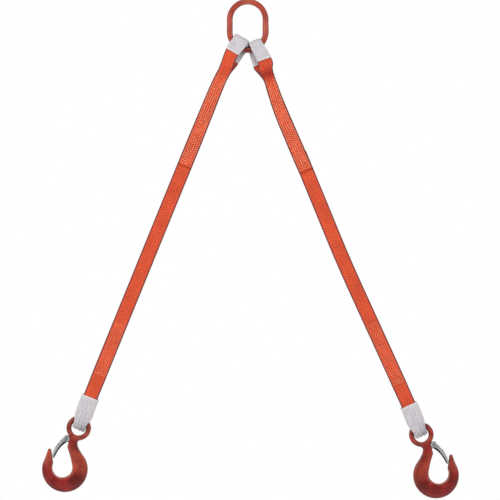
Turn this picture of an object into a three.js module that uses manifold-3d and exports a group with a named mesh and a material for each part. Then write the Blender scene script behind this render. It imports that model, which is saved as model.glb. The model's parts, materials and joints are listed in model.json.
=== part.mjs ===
// Two-leg flat web sling: an oblong master link carries two webbing legs, each ending in an eye hook.
// The sling hangs with its legs spread. Millimetres, +X right, +Y to the back, +Z up.
// The origin is the seat in the master link's crown, where a crane hook bears.
import * as THREE from 'three';
import { mergeVertices } from 'three/addons/utils/BufferGeometryUtils.js';
import Module from 'manifold-3d';

const wasm = await Module();
wasm.setup();

const DEG = Math.PI / 180;
const GAP = 0.3;                      // clearance between pieces that touch on the real sling
const SHORTEST_EDGE = 0.05;           // outline points closer than this are one point
const CHORD = 0.12;                   // how far the middle of a chord may stand off its arc

// Master link: a round rod bent to an oblong.
const LINK = { rod: 14, bendRadius: 43, straight: 30 };
const LINK_LOW_CENTRE = -(LINK.bendRadius - LINK.rod / 2) - LINK.straight;

// Webbing and the sleeves over it.
const WEB = { width: 35, thickness: 3 };
const PLY = WEB.thickness / 2 + 0.2;  // a ply's mid-plane, from the mid-plane of a doubled web
const SLEEVE = { wall: 1.5, play: GAP };
const NECK_GAP = 6;                   // space left where the leg bends at its top eye's neck
const FOLD_GAP = 3.5;                 // space left where the single web folds
const STITCH = { height: 0.8, bar: 1.6, rows: 5, inset: 3.5, fromNeck: 3, fromEnd: 4 };

// Eyes: the web's distance from the middle of the metal it goes round, how far the fold's centre stands off
// that middle, how long its plies stay parallel, and the share of the lower eye that its sleeve leaves bare.
const TOP_EYE = { radius: LINK.rod / 2 + 3.7, slack: 9.5, parallel: 16 };
const LOW_EYE = { radius: 12.9, slack: 8, parallel: 24, bunched: 19, bare: 0.42 };

// Each leg as it hangs: tilts are degrees from straight down, lengths run along the leg. The top eye's sleeve
// ends at sleeveFront and sleeveBack below the link's bar.
const LEGS = [
  {
    name: 'left', side: -1, pivotX: -25, eyeTilt: 29.4, eye: 72.8, topWidth: 19,
    upperTilt: 22.2, upper: 484.8, lowerTilt: 21.85, lower: 434.4, hookTilt: 21.8,
    upperSplice: 241, lowerSplice: 140, lowEye: 137, sleeveFront: 20, sleeveBack: 39,
  },
  {
    name: 'right', side: 1, pivotX: 23, eyeTilt: 19.55, eye: 81.2, topWidth: 16,
    upperTilt: 22.3, upper: 469.6, lowerTilt: 24.2, lower: 459.2, hookTilt: 23.1,
    upperSplice: 238, lowerSplice: 163, lowEye: 133, sleeveFront: 32, sleeveBack: 44,
  },
];

// Hook, drawn with v outward to the tip and u down from the middle of the eye. Angles are degrees from v
// towards u, and a pull is the point that draws a quadratic curve towards it.
const EYE = { hole: 18.5, outer: 29.3, chamfer: 3, from: 32 };
const BOWL = { v: 1.5, u: 102, r: 24, from: -4, to: 200 };
const BACK = { v: -6, u: 104, r: 54.5, from: 233, to: -358 };
const NECK = { root: [-16, 24.5], pull: [3.4, 34.2] };
const TIP = { v: 45, u: 75.2, r: 3.8, to: -150, pull: [37.4, 91] };
const THROAT = { pull: [-12.4, 75], ledge: [7.7, 52.6], lip: [9.5, 46] };
const BODY = {
  inset: 0.6, shoulder: 223, armTop: 90, armFront: 36, armRoot: [30.5, 95], pull: [-20, 72], neck: [-9, 64],
};
const HOOK = { neckThickness: 14, neckBevel: 2.5, bodyThickness: 20, bodyBevel: 3.5 };
const RING_BAR = (EYE.hole + EYE.outer) / 2;   // middle of the eye's metal, from the middle of its hole

// Latch, its pin and its spring.
const PIN = {
  v: 18, u: 34, r: 3, headR: 4.8, head: 1.5, edge: 0.5, hole: 3.3, lugR: 6, lugFrom: 110, lugTo: -30,
};
const LATCH = {
  tipV: 31.3, tipU: 85.5, hubR: 8, hubFrom: 160, hubTo: 370, tipR: 3.4, tipFrom: 30, tipTo: 130,
  edgeFrom: 0.12, edgeTo: 0.98, inner: 16, sheet: 1.6, bow: 4, openHub: 6, pocketTo: 0.93, openBack: 12,
};
const SPRING = {
  wire: 1.2, coilR: 4.9, turns: 2.5, turnGap: 0.15, recess: 4.2, recessR: 9, legLength: 16, lean: 2.4,
};

const COLOURS = {
  linkRed: { color: 0xb04a40, roughness: 0.4, metalness: 0.1 },
  hookRed: { color: 0x96302a, roughness: 0.4, metalness: 0.1 },
  web: { color: 0xe45f38, roughness: 0.9, metalness: 0 },
  sleeve: { color: 0xd4d2d6, roughness: 0.95, metalness: 0 },
  thread: { color: 0xf0b49a, roughness: 0.8, metalness: 0 },
  zinc: { color: 0xb9bcb8, roughness: 0.35, metalness: 0.9 },
  steel: { color: 0x8c8f92, roughness: 0.3, metalness: 0.95 },
};

function named(name, geometry, colour) {
  const mesh = new THREE.Mesh(geometry, new THREE.MeshStandardMaterial(COLOURS[colour]));
  mesh.name = name;
  return mesh;
}

// ---- solids ----

function solidOf(geometry) {
  const bare = geometry.clone();
  bare.deleteAttribute('normal');
  bare.deleteAttribute('uv');
  const merged = mergeVertices(bare, 1e-3);
  return new wasm.Manifold(new wasm.Mesh({
    numProp: 3,
    vertProperties: new Float32Array(merged.attributes.position.array),
    triVerts: new Uint32Array(merged.index.array),
  }));
}

function geometryOf(solid) {
  const mesh = solid.getMesh();
  const geometry = new THREE.BufferGeometry();
  geometry.setAttribute('position', new THREE.BufferAttribute(new Float32Array(mesh.vertProperties), 3));
  geometry.setIndex(new THREE.BufferAttribute(new Uint32Array(mesh.triVerts), 1));
  return geometry;
}

// A plate in the XZ plane, centred on Y = 0. Its outline and holes are lists of [x, z].
function plate(outline, thickness, bevel = 0, holes = []) {
  const vectors = (points) => points
    .filter(([x, z], i) => Math.hypot(x - points.at(i - 1)[0], z - points.at(i - 1)[1]) > SHORTEST_EDGE)
    .map(([x, z]) => new THREE.Vector2(x, z));
  const shape = new THREE.Shape(vectors(outline));
  shape.holes = holes.map((hole) => new THREE.Path(vectors(hole)));
  const geometry = new THREE.ExtrudeGeometry(shape, {
    depth: thickness - 2 * bevel, bevelEnabled: bevel > 0, bevelThickness: bevel,
    bevelSize: bevel, bevelOffset: -bevel, bevelSegments: 2,
  });
  geometry.translate(0, 0, bevel - thickness / 2);
  geometry.rotateX(Math.PI / 2);
  return geometry;
}

// A rod along Y, centred on [x, z].
function rodAlongY(x, z, radius, length, sides = 32) {
  return new THREE.CylinderGeometry(radius, radius, length, sides).translate(x, 0, z);
}

// Points on an arc about [v, u], as many as CHORD asks for.
function arc(v, u, radius, from, to) {
  const widest = (2 * Math.acos(1 - CHORD / radius)) / DEG;
  const steps = Math.max(1, Math.ceil(Math.abs(to - from) / widest));
  const points = [];
  for (let i = 0; i <= steps; i += 1) {
    const angle = (from + (to - from) * (i / steps)) * DEG;
    points.push([v + radius * Math.cos(angle), u + radius * Math.sin(angle)]);
  }
  return points;
}

// A strip swept along stations { y, s, width }, s running down the leg. Each ring of corners is joined to the
// next. With a wall it is a flat tube, open at both ends, whose opening is the strip's own section.
function strip(stations, thickness, wall = 0) {
  const corners = [[1, 1], [-1, 1], [-1, -1], [1, -1]];
  const rings = wall > 0 ? [wall, 0] : [0];
  const positions = [];
  const faces = [];
  const perStation = corners.length * rings.length;
  stations.forEach(({ y, s, width }, i) => {
    const before = stations[Math.max(i - 1, 0)];
    const after = stations[Math.min(i + 1, stations.length - 1)];
    const along = new THREE.Vector2(after.y - before.y, after.s - before.s).normalize();
    for (const grow of rings) {
      for (const [across, out] of corners) {
        const offset = out * (thickness / 2 + grow);
        positions.push(across * (width / 2 + grow), y + along.y * offset, -(s - along.x * offset));
      }
    }
  });
  const quad = (a, b, c, d) => faces.push(a, c, b, a, d, c);
  for (let i = 0; i + 1 < stations.length; i += 1) {
    const here = i * perStation;
    const next = here + perStation;
    for (let k = 0; k < 4; k += 1) {
      const m = (k + 1) % 4;
      quad(here + k, here + m, next + m, next + k);
      if (wall > 0) quad(here + 4 + m, here + 4 + k, next + 4 + k, next + 4 + m);
    }
  }
  const last = (stations.length - 1) * perStation;
  if (wall > 0) {
    for (let k = 0; k < 4; k += 1) {
      const m = (k + 1) % 4;
      quad(k, 4 + k, 4 + m, m);
      quad(last + k, last + m, last + 4 + m, last + 4 + k);
    }
  } else {
    quad(3, 2, 1, 0);
    quad(last, last + 1, last + 2, last + 3);
  }
  const geometry = new THREE.BufferGeometry();
  geometry.setAttribute('position', new THREE.Float32BufferAttribute(positions, 3));
  geometry.setIndex(faces);
  return geometry;
}

// ---- webbing ----

const ease = (t) => t * t * (3 - 2 * t);
const mix = (a, b, t) => a + (b - a) * t;

// A width that goes from its bunched value at the fold to the full width at the neck.
const widthAt = (t, bunched) => mix(bunched, WEB.width, ease(Math.min(Math.max(t, 0), 1)));

// Stations of an eye from the end of its front ply, over the fold, to the end of its back ply. The fold's
// centre is at `fold`, and the neck where the plies meet is at `neck`.
function eyeStations({ fold, neck, frontEnd, backEnd, radius, parallel, bunched }) {
  const down = Math.sign(neck - fold);
  const straight = 10;
  const bend = 12;
  const ply = (side, end) => {
    const stations = [];
    for (let i = 0; i <= straight; i += 1) {
      const s = mix(end, fold, i / straight);
      const t = Math.max(0, (Math.abs(s - fold) - parallel) / (Math.abs(neck - fold) - parallel));
      stations.push({ y: side * mix(radius, PLY, ease(Math.min(t, 1))), s, width: widthAt(t, bunched) });
    }
    return stations;
  };
  const arcStations = [];
  for (let i = 1; i < bend; i += 1) {
    const angle = Math.PI * (i / bend);
    const [y, s] = [-radius * Math.cos(angle), fold - down * radius * Math.sin(angle)];
    arcStations.push({ y, s, width: bunched });
  }
  return [...ply(-1, frontEnd), ...arcStations, ...ply(1, backEnd).reverse()];
}

function sleeveOver(stations) {
  return strip(
    stations.map((station) => ({ ...station, width: station.width + 2 * SLEEVE.play })),
    WEB.thickness + 2 * SLEEVE.play, SLEEVE.wall,
  );
}

function topEye(leg) {
  return {
    fold: -TOP_EYE.slack, neck: leg.eye, radius: TOP_EYE.radius,
    parallel: TOP_EYE.slack + TOP_EYE.parallel, bunched: leg.topWidth,
  };
}

function topEyeWeb(leg) {
  const end = leg.eye - NECK_GAP / 2;
  return strip(eyeStations({ ...topEye(leg), frontEnd: end, backEnd: end }), WEB.thickness);
}

const topSleeve = (leg) => sleeveOver(
  eyeStations({ ...topEye(leg), frontEnd: leg.sleeveFront, backEnd: leg.sleeveBack }),
);

function straightPly(y, from, to) {
  return strip([{ y, s: from, width: WEB.width }, { y, s: to, width: WEB.width }], WEB.thickness);
}

function lowEye(leg) {
  return {
    fold: leg.lower - RING_BAR + LOW_EYE.slack, neck: leg.lower - leg.lowEye, radius: LOW_EYE.radius,
    parallel: LOW_EYE.slack + LOW_EYE.parallel, bunched: LOW_EYE.bunched,
  };
}

// The lower web in one strip: down the back, round the hook's eye, and up the front as the splice's tail.
function lowerWeb(leg) {
  const eye = lowEye(leg);
  const stations = eyeStations({ ...eye, frontEnd: eye.neck, backEnd: eye.neck });
  const first = { y: -PLY, s: eye.neck - leg.lowerSplice, width: WEB.width };
  const last = { y: PLY, s: FOLD_GAP / 2, width: WEB.width };
  return strip([first, ...stations, last], WEB.thickness);
}

function lowSleeve(leg) {
  const eye = lowEye(leg);
  const end = eye.neck + leg.lowEye * LOW_EYE.bare;
  return sleeveOver(eyeStations({ ...eye, frontEnd: end, backEnd: end }));
}

// The sewn rows on a splice's front face: lengthwise bars tied by one across each end.
function stitching(from, to) {
  const width = WEB.width - 2 * STITCH.inset;
  const pitch = (width - STITCH.bar) / (STITCH.rows - 1);
  const [middle, length] = [-(from + to) / 2, to - from];
  let solid = solidOf(new THREE.BoxGeometry(width, STITCH.height, length));
  for (let row = 0; row + 1 < STITCH.rows; row += 1) {
    const slot = new THREE.BoxGeometry(pitch - STITCH.bar, 2 * STITCH.height, length - 2 * STITCH.bar);
    slot.translate(-width / 2 + STITCH.bar / 2 + (row + 0.5) * pitch, 0, 0);
    solid = solid.subtract(solidOf(slot));
  }
  const front = -(PLY + WEB.thickness / 2 + GAP + STITCH.height / 2);
  return geometryOf(solid).translate(0, front, middle);
}

// ---- metal ----

function masterLink() {
  const { rod, bendRadius, straight } = LINK;
  const middle = LINK_LOW_CENTRE + straight / 2;
  const [high, low] = [middle + straight / 2, middle - straight / 2];
  const bend = (centre, from) => {
    const points = arc(0, centre, bendRadius, from, from + 180);
    return points.map(([x, z]) => new THREE.Vector3(x, 0, z));
  };
  const ring = [...bend(high, 0), ...bend(low, 180)];
  const sides = 14;
  const positions = [];
  const faces = [];
  ring.forEach((point, i) => {
    const centre = new THREE.Vector3(0, 0, i < ring.length / 2 ? high : low);
    const outward = point.clone().sub(centre).normalize();
    for (let k = 0; k < sides; k += 1) {
      const angle = (2 * Math.PI * k) / sides;
      const reach = outward.clone().multiplyScalar(Math.cos(angle) * (rod / 2));
      const corner = point.clone().add(reach);
      positions.push(corner.x, corner.y + Math.sin(angle) * (rod / 2), corner.z);
    }
  });
  for (let i = 0; i < ring.length; i += 1) {
    const here = i * sides;
    const next = ((i + 1) % ring.length) * sides;
    for (let k = 0; k < sides; k += 1) {
      const m = (k + 1) % sides;
      faces.push(here + k, next + m, next + k, here + k, here + m, next + m);
    }
  }
  const geometry = new THREE.BufferGeometry();
  geometry.setAttribute('position', new THREE.Float32BufferAttribute(positions, 3));
  geometry.setIndex(faces);
  return geometry;
}

// From (v, u) to the hook group's X and Z, on the side that the tip points to.
const toHook = (points, side) => points.map(([v, u]) => [side * v, -u]);

const angleOf = (v, u) => Math.atan2(u, v) / DEG;

function curvePoints(a, b, c, steps) {
  const curve = new THREE.QuadraticBezierCurve(...[a, b, c].map(([v, u]) => new THREE.Vector2(v, u)));
  return curve.getPoints(steps).slice(1, -1).map((p) => [p.x, p.y]);
}

function hookTip() {
  const inner = arc(TIP.v, TIP.u, TIP.r, 0, TIP.to);
  const bowlStart = arc(BOWL.v, BOWL.u, BOWL.r, BOWL.from, BOWL.from)[0];
  return [...inner, ...curvePoints(inner.at(-1), TIP.pull, bowlStart, 6)];
}

function hookOutline() {
  const bowl = arc(BOWL.v, BOWL.u, BOWL.r, BOWL.from, BOWL.to);
  const back = arc(BACK.v, BACK.u, BACK.r, BACK.from - 360, BACK.to);
  return [
    ...arc(0, 0, EYE.outer, EYE.from, angleOf(...NECK.root) - 360),
    ...curvePoints(NECK.root, NECK.pull, back[0], 8),
    ...back,
    ...hookTip(),
    ...bowl,
    ...curvePoints(bowl.at(-1), THROAT.pull, THROAT.ledge, 6),
    THROAT.ledge,
    THROAT.lip,
    ...arc(PIN.v, PIN.u, PIN.lugR, PIN.lugFrom, PIN.lugTo),
  ];
}

// The thick lower part: back, bowl and arm, up to just below the tip.
function bodyOutline() {
  const { inset, armTop } = BODY;
  const bowl = arc(BOWL.v, BOWL.u, BOWL.r + inset, BOWL.from, BOWL.to);
  return [
    ...arc(BACK.v, BACK.u, BACK.r - inset, BODY.shoulder - 360, BACK.to),
    [TIP.v + TIP.r - inset, armTop],
    [BODY.armFront, armTop],
    BODY.armRoot,
    ...bowl,
    ...curvePoints(bowl.at(-1), BODY.pull, BODY.neck, 4),
    BODY.neck,
  ];
}

// The cone that opens the eye's hole towards one face, -1 the front or +1 the back.
function eyeChamfer(face) {
  const depth = EYE.chamfer + 1;
  const [mouth, root] = [EYE.hole + depth, EYE.hole];
  const [top, bottom] = face > 0 ? [mouth, root] : [root, mouth];
  const cone = new THREE.CylinderGeometry(top, bottom, depth, 40);
  return cone.translate(0, face * (HOOK.neckThickness / 2 + 1 - depth / 2), 0);
}

function hookGeometry(side) {
  const neck = plate(toHook(hookOutline(), side), HOOK.neckThickness, HOOK.neckBevel);
  const body = plate(toHook(bodyOutline(), side), HOOK.bodyThickness, HOOK.bodyBevel);
  let solid = solidOf(neck).add(solidOf(body));
  solid = solid.subtract(solidOf(rodAlongY(0, 0, EYE.hole, 2 * HOOK.bodyThickness, 40)));
  for (const face of [-1, 1]) {
    solid = solid.subtract(solidOf(eyeChamfer(face)));
  }
  const pinX = side * PIN.v;
  solid = solid.subtract(solidOf(rodAlongY(pinX, -PIN.u, PIN.hole, 2 * HOOK.bodyThickness, 24)));
  const recess = rodAlongY(pinX, -PIN.u, SPRING.recessR, HOOK.bodyThickness, 32);
  recess.translate(0, -HOOK.bodyThickness / 2 - HOOK.neckThickness / 2 + SPRING.recess, 0);
  return geometryOf(solid.subtract(solidOf(recess)));
}

// Half-width and centre of the latch at t, from the pin (0) to the tip (1).
function latchBand(t) {
  const v = mix(PIN.v, LATCH.tipV, t) + LATCH.bow * Math.sin(Math.PI * t);
  const u = mix(PIN.u, LATCH.tipU, t);
  return { v, u, half: mix(LATCH.hubR, LATCH.tipR, Math.sqrt(Math.max(t, 0))) };
}

// One edge of the latch, at its half-width plus `grow`, on the side `out`.
function latchEdge(out, grow, from, to, steps) {
  const points = [];
  for (let i = 0; i <= steps; i += 1) {
    const t = mix(from, to, i / steps);
    const [here, ahead] = [latchBand(t), latchBand(t + 0.01)];
    const length = Math.hypot(ahead.v - here.v, ahead.u - here.u);
    const across = [(ahead.u - here.u) / length, -(ahead.v - here.v) / length];
    const reach = out * (here.half + grow);
    points.push([here.v + across[0] * reach, here.u + across[1] * reach]);
  }
  return points;
}

function latchOutline() {
  return [
    ...arc(PIN.v, PIN.u, LATCH.hubR, LATCH.hubFrom, LATCH.hubTo),
    ...latchEdge(1, 0, LATCH.edgeFrom, LATCH.edgeTo, 8),
    ...arc(LATCH.tipV, LATCH.tipU, LATCH.tipR, LATCH.tipFrom, LATCH.tipTo),
    ...latchEdge(-1, 0, LATCH.edgeTo, LATCH.edgeFrom, 8),
  ];
}

function latchGeometry(side) {
  const outer = plate(toHook(latchOutline(), side), LATCH.inner + 2 * LATCH.sheet);
  const pocketOutline = [
    ...latchEdge(1, -LATCH.sheet, -LATCH.edgeFrom, LATCH.pocketTo, 8),
    ...latchEdge(-1, LATCH.openBack, LATCH.pocketTo, -LATCH.edgeFrom, 4),
  ];
  const pocket = plate(toHook(pocketOutline, side), LATCH.inner);
  const hubRoom = rodAlongY(side * PIN.v, -PIN.u, LATCH.hubR + LATCH.openHub, LATCH.inner, 24);
  const pinHole = rodAlongY(side * PIN.v, -PIN.u, PIN.hole, 2 * LATCH.inner, 24);
  return geometryOf(
    solidOf(outer).subtract(solidOf(pocket)).subtract(solidOf(hubRoom)).subtract(solidOf(pinHole)),
  );
}

function pinGeometry(side) {
  const grip = LATCH.inner / 2 + LATCH.sheet + GAP;
  const end = grip + PIN.head;
  const face = PIN.headR - 3 * PIN.edge;
  const profile = [
    [0, -end], [face, -end], [PIN.headR, -end + PIN.edge], [PIN.headR, -grip], [PIN.r, -grip],
    [PIN.r, grip], [PIN.headR, grip], [PIN.headR, end - PIN.edge], [face, end], [0, end],
  ].map(([x, y]) => new THREE.Vector2(x, y));
  return new THREE.LatheGeometry(profile, 20).translate(side * PIN.v, 0, -PIN.u);
}

// The torsion spring: coils round the pin, with one leg that lies in the hook's recess.
function springGeometry(side) {
  const room = LATCH.inner / 2 - HOOK.neckThickness / 2 + SPRING.recess;
  const pitch = SPRING.wire + SPRING.turnGap;
  const startY = -LATCH.inner / 2 + (room - SPRING.turns * pitch) / 2;
  const points = [];
  const at = (angle, y) => new THREE.Vector3(
    side * (PIN.v + SPRING.coilR * Math.cos(angle)), y, -(PIN.u + SPRING.coilR * Math.sin(angle)),
  );
  const steps = 30;
  const first = at(0, startY);
  const leg = new THREE.Vector3(side * SPRING.lean, 0, -SPRING.legLength);
  points.push(first.clone().add(leg), first.clone().addScaledVector(leg, 1 / 3));
  for (let i = 0; i <= steps; i += 1) {
    const turned = (i / steps) * SPRING.turns;
    points.push(at(-turned * 2 * Math.PI, startY + turned * pitch));
  }
  const path = new THREE.CatmullRomCurve3(points, false, 'centripetal');
  const section = new THREE.Shape();
  section.absarc(0, 0, SPRING.wire / 2, 0, 2 * Math.PI);
  return new THREE.ExtrudeGeometry(section, {
    steps: 46, extrudePath: path, curveSegments: 3, bevelEnabled: false,
  });
}

// ---- assembly ----

// A group below its parent, `along` the parent's length, turned to hang at `tilt` from straight down.
function hangingGroup(parent, along, tilt, parentTilt, side) {
  const group = new THREE.Group();
  group.position.z = -along;
  group.rotation.y = -side * (tilt - parentTilt) * DEG;
  parent.add(group);
  return group;
}

function addLeg(sling, leg) {
  const { name, side } = leg;
  const pivot = new THREE.Group();
  pivot.position.x = leg.pivotX;
  pivot.position.z = LINK_LOW_CENTRE - Math.sqrt(LINK.bendRadius ** 2 - leg.pivotX ** 2);
  sling.add(pivot);

  const eye = hangingGroup(pivot, 0, leg.eyeTilt, 0, side);
  eye.add(named(`${name}_top_eye_web`, topEyeWeb(leg), 'web'));
  eye.add(named(`${name}_top_wear_sleeve`, topSleeve(leg), 'sleeve'));

  const upper = hangingGroup(eye, leg.eye, leg.upperTilt, leg.eyeTilt, side);
  const start = NECK_GAP / 2;
  upper.add(named(`${name}_upper_strap`, straightPly(PLY, start, leg.upper - FOLD_GAP / 2), 'web'));
  upper.add(named(`${name}_upper_splice_tail`, straightPly(-PLY, start, leg.upperSplice), 'web'));
  const upperRows = stitching(start + STITCH.fromNeck, leg.upperSplice - STITCH.fromEnd);
  upper.add(named(`${name}_upper_stitching`, upperRows, 'thread'));

  const lower = hangingGroup(upper, leg.upper, leg.lowerTilt, leg.upperTilt, side);
  const neck = leg.lower - leg.lowEye;
  lower.add(named(`${name}_lower_strap`, lowerWeb(leg), 'web'));
  const lowerRows = stitching(neck - leg.lowerSplice + STITCH.fromEnd, neck);
  lower.add(named(`${name}_lower_stitching`, lowerRows, 'thread'));
  lower.add(named(`${name}_bottom_wear_sleeve`, lowSleeve(leg), 'sleeve'));

  const hook = hangingGroup(lower, leg.lower, leg.hookTilt, leg.lowerTilt, side);
  hook.add(named(`${name}_hook`, hookGeometry(side), 'hookRed'));
  hook.add(named(`${name}_latch_pin`, pinGeometry(side), 'steel'));
  hook.add(named(`${name}_latch_spring`, springGeometry(side), 'steel'));
  hook.add(named(`${name}_latch`, latchGeometry(side), 'zinc'));
}

const sling = new THREE.Group();
sling.add(named('master_link', masterLink(), 'linkRed'));
for (const leg of LEGS) addLeg(sling, leg);

export default sling;
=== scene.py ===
"""Looks of a two-leg flat web sling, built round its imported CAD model.

Lengths are millimetres, except where a name or a comment says metres.
"""
import json
import math
import random

import bpy
import numpy as np
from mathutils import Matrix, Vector


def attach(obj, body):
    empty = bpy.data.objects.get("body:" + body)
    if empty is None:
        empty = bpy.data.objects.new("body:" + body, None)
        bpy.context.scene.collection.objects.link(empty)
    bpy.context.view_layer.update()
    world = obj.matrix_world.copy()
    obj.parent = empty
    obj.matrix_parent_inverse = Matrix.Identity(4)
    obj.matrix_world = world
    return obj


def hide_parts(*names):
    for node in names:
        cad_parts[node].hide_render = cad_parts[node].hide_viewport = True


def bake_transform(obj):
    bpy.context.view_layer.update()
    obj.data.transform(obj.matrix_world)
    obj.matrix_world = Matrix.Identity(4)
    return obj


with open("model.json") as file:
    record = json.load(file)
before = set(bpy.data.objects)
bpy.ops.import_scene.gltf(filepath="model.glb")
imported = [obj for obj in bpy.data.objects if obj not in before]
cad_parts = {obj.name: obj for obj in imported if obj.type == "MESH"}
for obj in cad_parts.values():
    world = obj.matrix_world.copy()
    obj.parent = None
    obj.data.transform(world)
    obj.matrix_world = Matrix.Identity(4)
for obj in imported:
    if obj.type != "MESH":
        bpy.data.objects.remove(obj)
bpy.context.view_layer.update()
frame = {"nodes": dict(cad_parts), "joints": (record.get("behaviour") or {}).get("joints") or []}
joints = {j["name"]: j for j in frame["joints"]}

MM = 0.001
Y_AXIS = np.array([0.0, 1.0, 0.0])

# Master link, a round rod bent to an oblong. Z is measured from the seat in its crown.
LINK = {"rod": 7.0, "bend": 43.0, "high": -36.0, "low": -66.0}
WELD = {"z": -60.0, "swell": 0.55, "spread": 9.0, "ring": 0.22, "pitch": 6.0}

# Webbing: half-width, half-thickness, and how far a ply's middle lies from the middle of a doubled web.
WEB = {"half": 17.5, "thick": 1.5, "ply": 1.7}
# Its woven ribs stand in columns across the band, and neighbouring columns are half a pitch apart.
RIB = {"pitch": 4.8, "column": 7.8, "offset": 3.9, "band": 11.7, "height": 0.5}
COLUMNS = 23                 # points across each face of the web

# Top eye: radius of the web's fold over the bar, length of its parallel plies.
TOP = {"radius": 10.2, "parallel": 12.0}
# Bottom eye: the same, with the fold's centre below the middle of the ring's bar.
LOW = {"radius": 15.6, "parallel": 22.0, "drop": 9.2}

SLEEVE = {"half_thick": 3.5, "wall": 1.1, "hem": 4.2, "hem_rise": 0.3, "square": 3.4}
# How creased each sleeve is, how much soiling and painted shade darken its middle, and the sign of lift on
# its side that faces the metal.
TOP_LOOK = {"creased": 0.7, "grime": 0.15, "metal_side": -1}
LOW_LOOK = {"creased": 1.4, "grime": 0.85, "metal_side": 1}
# Lengthwise wrinkles: height, pitch, and how far each wanders sideways with the cloth.
WRINKLES = ((0.60, 9.5, 1.0), (0.34, 5.1, -0.6))

# Each leg's own shape. The top eye's fold stands slack above the link's bar. splice is measured down from the
# neck, low_neck and low_sleeve up from the middle of the hook's eye, and low_splice up from the lower neck.
# Pairs are (distance down the leg from the link's bar, value): the web's half-width, how far each ply is
# shifted outward where the eye is twisted, and the top sleeve's half-width.
LEGS = {
    "left": {
        "side": -1, "slack": 13.5, "sleeve_front": 17.0, "sleeve_back": 34.0, "splice": 241.0,
        "low_neck": 137.0, "low_splice": 140.0, "low_sleeve": 79.5,
        "low_weave": 0.15, "faded": 1.0, "crease": 0.2,
        "half": [(-10, 16.4), (20, 16.4), (55, 15.8), (78, 15.5), (110, 16.3), (170, 17.2), (260, 18.0)],
        "front": [(-12, 0.5), (18, 4.0), (37, 2.2), (55, -0.6), (70, -1.8), (95, -0.6), (120, 0.0)],
        "back": [(-16, 0), (-6, -5.5), (10, -6.0), (25, -6.5), (42, -5.6), (62, -2.5), (80, -0.8), (110, 0)],
        "sleeve": [(-26, 19.2), (0, 18.8), (17, 17.0), (40, 15.8)],
    },
    "right": {
        "side": 1, "slack": 5.5, "sleeve_front": 33.5, "sleeve_back": 41.0, "splice": 238.0,
        "low_neck": 133.0, "low_splice": 163.0, "low_sleeve": 77.0,
        "low_weave": 0.5, "faded": 0.65, "crease": 1.0,
        "half": [
            (-10, 13.5), (34, 17.0), (52, 18.6), (62, 17.0), (80, 14.0),
            (100, 14.4), (135, 16.0), (200, 17.4), (260, 18.0),
        ],
        "front": [
            (-20, -2.0), (10, 2.2), (30, 5.6), (44, 5.4), (60, 0.8),
            (80, 2.0), (100, 1.0), (130, -1.4), (260, -1.4), (340, 0.0),
        ],
        "back": [
            (-20, -2.0), (-5, -6.0), (10, -6.2), (28, -7.0), (45, -6.4), (62, -2.0),
            (80, 0.6), (110, -0.6), (130, -1.4), (260, -1.4), (340, 0.0),
        ],
        "sleeve": [(-24, 14.5), (5, 16.4), (44, 17.8)],
    },
}
TAIL_TOP, MAIN_TOP = 11.0, 30.0     # where the front and back plies start, inside the top sleeve
MAIN_SPLIT = 275.0                  # where the upper and lower lengths of web meet, behind the splice's tail

# Sewing: each stitch is a bead of thread with (place, thickness) as shares of its length and radius.
STITCH = {"pitch": 5.4, "length": 3.4, "radius": 0.88, "insets": (4.6, 9.7, 14.8), "corner": 3.6, "around": 6}
BEAD = np.array([(-0.5, 0.15), (-0.38, 0.75), (0.0, 1.0), (0.38, 0.75), (0.5, 0.15)])

# Hook, drawn with v outward to the tip and u down from the middle of its eye.
EYE = {"bar": 23.9, "hole": 17.4, "outer": 29.6, "thick": 6.9}
BOWL = {"v": 1.5, "u": 102.0, "r": 24.0, "from": 200.0, "to": -4.0}
BACK = {"v": -6.0, "u": 104.0, "r": 54.8, "from": 233.0}
TIP = {"v": 45.2, "u": 74.8, "r": 4.2, "pull": (33.0, 89.0), "thick": 2.6}
THROAT = {"pull": (-11.6, 75.0), "ledge": (8.4, 53.0), "lip": (9.6, 46.0), "root": (10.0, 26.0)}
NECK = {"root": (-16.0, 24.5), "pull": (3.0, 34.2)}
# The body's half-thickness at points along it, counted from the neck.
BODY_THICK = [(0, 6.6), (12, 7.0), (24, 9.2), (32, 10.0), (60, 10.0), (74, 8.6), (84, 6.6)]
LUG = {"v": 11.0, "u": 34.8, "reach": 12.6, "lean": 0.8, "half": 6.2, "thick": 7.0}
METAL_AROUND = 40
VOXEL = 1.0
# Zones of its paint: painted light on cheek, arm and ring, and soiling and painted shade underneath; each
# grows from the first u or v to the second.
ZONE = {
    "cheek_top": (40, 60), "cheek_foot": (112, 84), "arm_side": (26, 36), "arm_foot": (122, 100),
    "ring": (34, 22), "underside": (118, 140),
}

PIN = {"v": 18.0, "u": 34.0, "r": 3.0, "head": 4.8, "grip": 9.9, "dome": 1.5, "drilled": 1.7}
SPRING = {"wire": 0.6, "coil": 4.9, "turns": 2.5, "pitch": 1.35, "side": -7.7, "leg": (2.0, 17.0, 0.0)}
# The latch's middle line runs from the pin to (tip_v, length) and bows between; root and tip are half-widths.
LATCH = {"length": 51.5, "tip_v": 31.3, "bow": 4.0, "root": 8.0, "tip": 3.4}

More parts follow.
